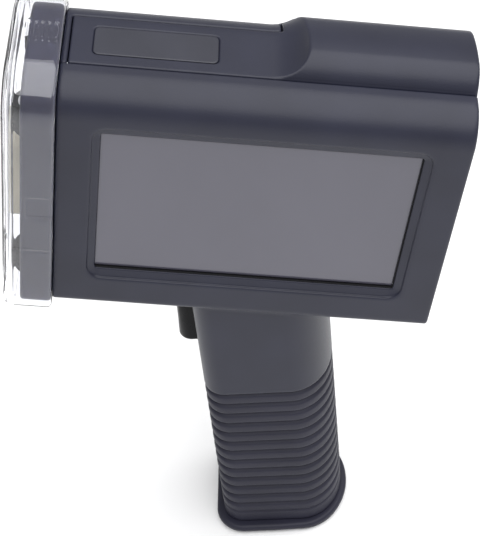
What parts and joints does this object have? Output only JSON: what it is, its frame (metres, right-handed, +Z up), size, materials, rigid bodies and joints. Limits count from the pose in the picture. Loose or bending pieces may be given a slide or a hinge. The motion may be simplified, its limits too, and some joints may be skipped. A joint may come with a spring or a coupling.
{
  "type": "handheld date code inkjet printer",
  "caption": "Pistol-grip inkjet coder with a side touch screen, a printing nose under a clear pull-off cover, a hinged cartridge lid, a sprung trigger and a slide-out battery foot.",
  "frame": {"origin": "centre of the foot on the ground", "axes": "+Z up along the grip, -X towards the printing nose, -Y out of the touch screen"},
  "size_m": [0.157, 0.057, 0.2417],
  "materials": {
    "housing_plastic": "fine matte texture",
    "bezel_plastic": "satin",
    "grip_rubber": "matte",
    "gloss_black": "gloss",
    "screen": "gloss",
    "panel_dark": "matte",
    "badge": "satin",
    "bracket_steel": "brushed",
    "circuit_board": "satin",
    "inner_plastic": "matte",
    "contact_gold": "satin",
    "clear_cover": "clear gloss",
    "seal_silicone": "matte",
    "ink_case": "satin",
    "ink_cap": "satin",
    "wheel_plastic": "satin",
    "roller_rubber": "matte",
    "battery_wrap": "matte",
    "cell_wrap": "gloss"
  },
  "bodies": {
    "housing": {"left_shell": "housing_plastic", "right_shell": "housing_plastic", "left_grip": "housing_plastic", "right_grip": "housing_plastic", "grip_sleeve": "grip_rubber", "nose_bezel": "bezel_plastic", "print_plate": "bracket_steel", "screen_glass": "screen", "lcd_panel": "panel_dark", "lcd_bracket": "bracket_steel", "main_board": "circuit_board", "board_chips": "panel_dark", "cartridge_cradle": "inner_plastic", "contact_block": "panel_dark", "usb_socket": "bracket_steel", "charge_socket": "panel_dark", "sensor_socket": "contact_gold", "microswitch": "panel_dark", "battery_terminal": "contact_gold", "housing_screws": "bracket_steel", "lid_pin": "bracket_steel", "roller_axles": "bracket_steel", "encoder_sensor": "panel_dark", "latch_pin": "bracket_steel", "power_switch": "panel_dark"},
    "cover": {"protective_cover": "clear_cover", "nozzle_pad": "seal_silicone"},
    "lid": {"cartridge_lid": "housing_plastic", "lid_badge": "badge"},
    "cartridge": {"cartridge_body": "ink_case", "cartridge_cap": "ink_cap", "nozzle_plate": "contact_gold", "cartridge_contacts": "contact_gold"},
    "latch": {"cartridge_latch": "ink_cap"},
    "trigger": {"trigger": "gloss_black", "trigger_spring": "bracket_steel"},
    "power_button": {"power_button": "gloss_black", "power_spring": "bracket_steel"},
    "encoder_wheel": {"encoder_wheel": "wheel_plastic", "encoder_tyre": "roller_rubber"},
    "roller_top": {"guide_roller_top": "roller_rubber"},
    "roller_near": {"guide_roller_near": "roller_rubber"},
    "roller_far": {"guide_roller_far": "roller_rubber"},
    "battery": {"battery_foot": "grip_rubber", "battery_case": "battery_wrap", "battery_cells": "cell_wrap", "foot_pad": "grip_rubber"},
    "battery_button": {"battery_button": "gloss_black", "battery_spring": "bracket_steel"}
  },
  "joints": [
    {"name": "cover_pull", "type": "slide", "parent": "housing", "child": "cover", "axis": [-0.9834, 0, 0.1814], "range_m": [0, 0.03]},
    {"name": "lid_swing", "type": "hinge", "parent": "housing", "child": "lid", "pos_m": [0.07095, 0, 0.20824], "axis": [0, 1, 0], "range_deg": [0, 88]},
    {"name": "cartridge_lift", "type": "slide", "parent": "housing", "child": "cartridge", "axis": [0.1814, 0, 0.9834], "range_m": [0, 0.012]},
    {"name": "latch_turn", "type": "hinge", "parent": "housing", "child": "latch", "pos_m": [0.00321, 0, 0.19989], "axis": [0, 1, 0], "range_deg": [0, 70]},
    {"name": "trigger_pull", "type": "slide", "parent": "housing", "child": "trigger", "axis": [1, 0, 0], "range_m": [0, 0.0042], "stiffness_N_per_m": 500, "springref_m": -0.002, "deforming": ["trigger_spring"]},
    {"name": "power_press", "type": "slide", "parent": "housing", "child": "power_button", "axis": [-0.9834, 0, 0.1814], "range_m": [0, 0.0012], "stiffness_N_per_m": 600, "springref_m": -0.001, "deforming": ["power_spring"]},
    {"name": "encoder_spin", "type": "hinge", "parent": "housing", "child": "encoder_wheel", "pos_m": [-0.059, -0.0175, 0.22153], "axis": [0.1814, 0, 0.9834], "continuous": true},
    {"name": "roller_top_spin", "type": "hinge", "parent": "housing", "child": "roller_top", "pos_m": [-0.059, 0.0175, 0.22153], "axis": [0.1814, 0, 0.9834], "continuous": true},
    {"name": "roller_near_spin", "type": "hinge", "parent": "housing", "child": "roller_near", "pos_m": [-0.07006, -0.0175, 0.16154], "axis": [0.1814, 0, 0.9834], "continuous": true},
    {"name": "roller_far_spin", "type": "hinge", "parent": "housing", "child": "roller_far", "pos_m": [-0.07006, 0.0175, 0.16154], "axis": [0.1814, 0, 0.9834], "continuous": true},
    {"name": "battery_slide", "type": "slide", "parent": "housing", "child": "battery", "axis": [0, 0, -1], "range_m": [0, 0.08]},
    {"name": "battery_release", "type": "slide", "parent": "housing", "child": "battery_button", "axis": [0, -1, 0], "range_m": [0, 0.0012], "stiffness_N_per_m": 600, "springref_m": -0.001, "deforming": ["battery_spring"]}
  ]
}
